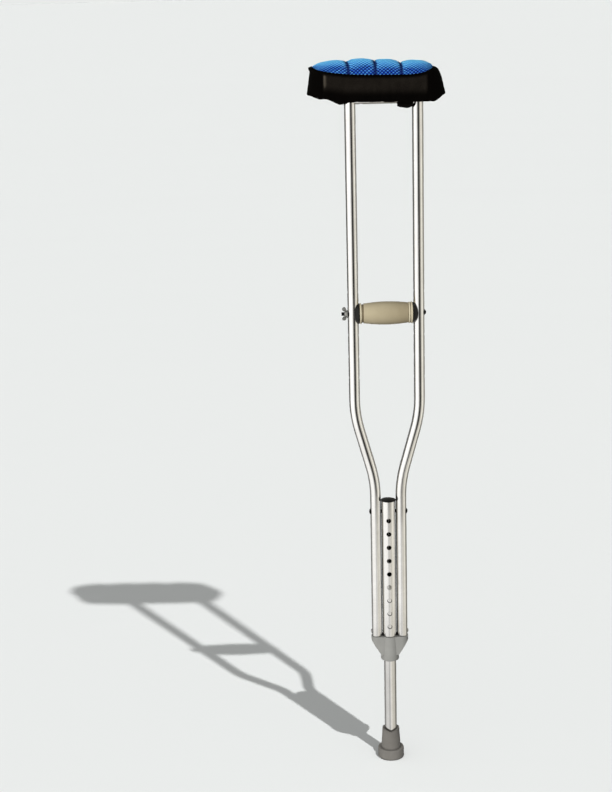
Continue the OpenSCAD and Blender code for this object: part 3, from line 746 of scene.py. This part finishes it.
def strap(name, x0, x1, drops, reach=23.0, thick=2.4):
    """A band slung under the cover; drops are its lowest heights at even steps across its width."""
    columns, rows = 17, 41
    verts, uvs = [], []
    for i in range(rows):
        a = -1 + 2 * i / (rows - 1)
        for j in range(columns):
            u = j / (columns - 1)
            x = x0 + (x1 - x0) * u
            low = float(np.interp(u, np.linspace(0, 1, len(drops)), drops))
            top = sleeve_foot(x) + 0.8
            hang = max(0.0, math.cos(a * math.pi / 2)) ** 0.5
            y = reach * math.copysign(abs(a) ** 1.1, a)
            verts.append(((x + 0.7 * math.sin(a * 4)) * MM, y * MM, (top - (top - low) * hang) * MM))
            uvs.append((u * (x1 - x0) * MM, a * 0.03))
    obj = make_object(name, verts, grid_faces(rows, columns), uvs)
    add_modifier(obj, "SOLIDIFY", thickness=thick * MM, offset=0)
    add_modifier(obj, "BEVEL", width=0.5 * MM, segments=2, limit_method="ANGLE")
    add_modifier(obj, "SUBSURF", levels=1, render_levels=1)
    return dress(apply_modifiers(obj), "knit_black")


# ---------------------------------------------------------------- studio

def floor():
    """Pale paper that takes the shadow; it throws no light back up, so the crutch keeps its modelling."""
    size = 60.0
    verts = [(-size, -size, 0), (size, -size, 0), (size, size, 0), (-size, size, 0)]
    obj = make_object("floor", verts, [(0, 1, 2, 3)])
    obj.visible_diffuse = False
    g = Graph("floor_paper")
    g.set(Base_Color=(0.795, 0.808, 0.80, 1), Roughness=0.9, Specular_IOR_Level=0.0)
    obj.data.materials.append(g.material)


# The cards round the set that mirror in the metal: azimuth in degrees (0 along -Y, 90 along +X), half
# width, soft edge, and brightness on the floor close by, on the floor a metre off, and on the wall
RING_RADIUS, RING_TOP = 1.7, 3.2
BARE_GLOW = 0.45
CARDS = (
    (180, 75, 20, 0.22, 0.24, 0.26),
    (-125, 24, 14, 0.27, 0.25, 0.14),
    (-54, 40, 15, 0.70, 1.06, 1.28),
    (-18, 8, 14, 0.44, 1.00, 0.95),
    (16, 19, 14, 0.80, 0.74, 0.035),
    (48, 8, 14, 0.70, 0.78, 0.55),
    (72, 15, 12, 0.58, 0.88, 1.00),
    (106, 8, 12, 0.13, 0.24, 0.42),
)


def card_glow(azimuth, zone):
    """Brightness at an azimuth in one of the three zones, the later cards in front of the earlier."""
    glow = BARE_GLOW
    for centre, half, soft, *levels in CARDS:
        off = abs((azimuth - centre + 180) % 360 - 180)
        cover = 1 - float(smooth(half - soft / 2, half + soft / 2, off))
        glow += (levels[zone] - glow) * cover
    return glow


def reflector_ring():
    """Light and dark cards on the floor and in a round wall, which only mirror and light nothing."""
    steps = 240
    rings = ((0.10, 0.002, 0), (0.35, 0.002, 0), (0.85, 0.002, 1), (1.25, 0.002, 1),
             (RING_RADIUS, 0.004, 2), (RING_RADIUS, RING_TOP, 2))
    verts, values = [], []
    for radius, z, zone in rings:
        for k in range(steps):
            azimuth = -180 + 360 * k / steps
            turn = math.radians(azimuth)
            verts.append((math.sin(turn) * radius, -math.cos(turn) * radius, z))
            glow = card_glow(azimuth, zone)
            warm = float(smooth(-10, 40, azimuth))
            tint = (1 + 0.01 * warm, 0.99 - 0.02 * warm, 0.97 - 0.10 * warm)
            values += [*(glow * part for part in tint), 1.0]
    obj = make_object("reflector_ring", verts, grid_faces(len(rings), steps, wrap=True))
    attribute = obj.data.attributes.new("glow", "FLOAT_COLOR", "POINT")
    attribute.data.foreach_set("color", values)
    g = Graph("reflector_cards")
    glow = g.add("ShaderNodeAttribute", attribute_name="glow").outputs["Color"]
    g.set(Base_Color=(0, 0, 0, 1), Roughness=1.0, Emission_Color=glow, Emission_Strength=1.0)
    g.set(Specular_IOR_Level=0.0)
    obj.data.materials.append(g.material)
    obj.visible_camera = False
    obj.visible_diffuse = False
    obj.visible_shadow = False
    obj.visible_transmission = False


WORLD_BACK, WORLD_FRONT = 0.10, 0.645        # strength of the surroundings' light from behind and in front
WORLD_BELOW = 0.35                           # share of it that is kept under the horizon
WORLD_TOWARD = (-0.40, -0.895, 0.20)         # where it is strongest: in front, to the left and a little up
WORLD_SEEN = 0.83                            # strength that the camera sees


def world():
    """Pale surroundings: bright to the camera, and as light stronger from the front and the left."""
    scene_world = bpy.data.worlds.new("studio")
    bpy.context.scene.world = scene_world
    scene_world.use_nodes = True
    tree = scene_world.node_tree
    background = tree.nodes["Background"]

    def add(kind, **settings):
        node = tree.nodes.new(kind)
        for key, value in settings.items():
            setattr(node, key, value)
        return node

    toward = add("ShaderNodeVectorMath", operation="DOT_PRODUCT")
    direction = add("ShaderNodeTexCoord").outputs["Generated"]
    tree.links.new(direction, toward.inputs[0])
    toward.inputs[1].default_value = WORLD_TOWARD
    light = add("ShaderNodeMapRange")
    for key, value in (("From Min", -1), ("From Max", 1), ("To Min", WORLD_BACK), ("To Max", WORLD_FRONT)):
        light.inputs[key].default_value = value
    tree.links.new(toward.outputs["Value"], light.inputs["Value"])
    height = add("ShaderNodeSeparateXYZ")
    tree.links.new(direction, height.inputs[0])
    above = add("ShaderNodeMapRange")
    for key, value in (("From Min", -0.04), ("From Max", 0.0), ("To Min", WORLD_BELOW), ("To Max", 1)):
        above.inputs[key].default_value = value
    tree.links.new(height.outputs["Z"], above.inputs["Value"])
    level = add("ShaderNodeMath", operation="MULTIPLY")
    tree.links.new(light.outputs[0], level.inputs[0])
    tree.links.new(above.outputs[0], level.inputs[1])
    switch = add("ShaderNodeMix")
    switch.inputs[3].default_value = WORLD_SEEN
    tree.links.new(add("ShaderNodeLightPath").outputs["Is Camera Ray"], switch.inputs[0])
    tree.links.new(level.outputs[0], switch.inputs[2])
    tree.links.new(switch.outputs[0], background.inputs["Strength"])
    background.inputs["Color"].default_value = (0.985, 1.0, 0.992, 1)


def share(light, name, objects, state):
    """Limits a light to the listed objects, or to all but them."""
    group = bpy.data.collections.new(name)
    for obj in objects:
        group.objects.link(obj)
    for entry in group.collection_objects:
        entry.light_linking.link_state = state
    light.light_linking.receiver_collection = group


KEY_POWER, KEY_PLACE = 25.0, (1.132, -1.867, 3.965)


def key_lamp():
    """A small lamp high on the front right, even over the whole floor, that throws the long shadow."""
    light = bpy.data.lights.new("key", "POINT")
    light.energy = KEY_POWER
    light.shadow_soft_size = 0.03
    light.use_nodes = True
    tree = light.node_tree
    emission = tree.nodes["Emission"]
    falloff = tree.nodes.new("ShaderNodeLightFalloff")
    falloff.inputs["Strength"].default_value = 1.0
    split = tree.nodes.new("ShaderNodeSeparateXYZ")
    tree.links.new(tree.nodes.new("ShaderNodeTexCoord").outputs["Normal"], split.inputs[0])
    down = tree.nodes.new("ShaderNodeMath")
    down.operation = "ABSOLUTE"
    tree.links.new(split.outputs["Z"], down.inputs[0])
    level = tree.nodes.new("ShaderNodeMath")
    level.operation = "DIVIDE"
    tree.links.new(falloff.outputs["Constant"], level.inputs[0])
    tree.links.new(down.outputs[0], level.inputs[1])
    tree.links.new(level.outputs[0], emission.inputs["Strength"])
    obj = bpy.data.objects.new("key", light)
    obj.location = KEY_PLACE
    bpy.context.scene.collection.objects.link(obj)
    share(obj, "lit_by_key", [bpy.data.objects["floor"]], "INCLUDE")


def soft_box(name, location, energy):
    """A soft box that lights the crutch but not the floor, and does not mirror in the metal."""
    light = bpy.data.lights.new(name, "AREA")
    light.shape = "RECTANGLE"
    light.size, light.size_y = 1.4, 1.8
    light.energy = energy
    light.color = (1.0, 0.985, 0.955)
    obj = bpy.data.objects.new(name, light)
    obj.location = location
    obj.rotation_euler = (Vector((0, 0, 0.75)) - obj.location).to_track_quat("-Z", "Y").to_euler()
    obj.visible_glossy = False
    bpy.context.scene.collection.objects.link(obj)
    share(obj, f"not_lit_by_{name}", [bpy.data.objects["floor"]], "EXCLUDE")


def camera():
    """A long lens looking 15 degrees down from the front, the crutch right of centre."""
    data = bpy.data.cameras.new("camera")
    data.sensor_width = 36.0
    data.lens = 74.8
    data.clip_end = 200
    obj = bpy.data.objects.new("camera", data)
    height, distance, aside = 1.441, 2.792, -0.1422
    pitch, roll = 14.93, -1.42
    obj.location = (aside, -distance, height)
    turn = Matrix.Rotation(math.radians(90 - pitch), 4, "X") @ Matrix.Rotation(math.radians(roll), 4, "Z")
    obj.rotation_euler = turn.to_euler()
    bpy.context.scene.collection.objects.link(obj)
    bpy.context.scene.camera = obj


# ---------------------------------------------------------------- build

# Each band under the cover: its name, the CAD strap it stands for, and its shape as strap() takes it
BANDS = (
    ("cover_flap", "strap_left", -95.0, -66.5, (1212, 1209, 1205, 1201.5, 1202.5)),
    ("hook_strap", "strap_right", 23.0, 47.3, (1197, 1195, 1194.2, 1193.4, 1196)),
)


def dress_nodes():
    for name, finish in NODE_FINISH.items():
        dress(nodes[name], finish)


def fit(obj, replaced=None):
    """Fixes a piece to the frame, in place of a CAD node if one is named."""
    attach(obj, "frame")
    if replaced is not None:
        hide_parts(replaced)


def stitched_seam(k):
    """The row of stitches that runs over the cushion in quilting seam k."""
    points, reach = 61, 0.97
    path = []
    for i in range(points):
        a = -reach + 2 * reach * i / (points - 1)
        x, y, z, _ = mesh_point(QUILT_X[k] - QUILT_SLANT[k] * a, a)
        path.append((x * MM, y * MM, z * MM + 0.0002))
    return stitch_run(f"quilt_stitches_{k + 1}", path, 0.0030, 0.00028, 0.0010, "blue_thread")


def cushion():
    fit(weave_pores(dress(quilted_mesh(), "spacer_mesh")), "mesh_panel")
    for k in range(4):
        fit(dress(foam_lobe(k), "open_foam"), f"foam_bolster_{k + 1}")
    for k in range(len(QUILT_X)):
        fit(stitched_seam(k))
    fit(dress(sleeve(), "knit_black"), "cushion_cover")
    for name, node, *shape in BANDS:
        fit(strap(name, *shape), node)


dress_nodes()
cushion()
floor()
reflector_ring()
world()
key_lamp()
soft_box("soft_box_front", (-1.25, -3.15, 1.4), 108.0)
soft_box("soft_box_back", (1.4, 3.1, 1.5), 45.0)
camera()
bpy.context.scene.view_settings.view_transform = "Standard"
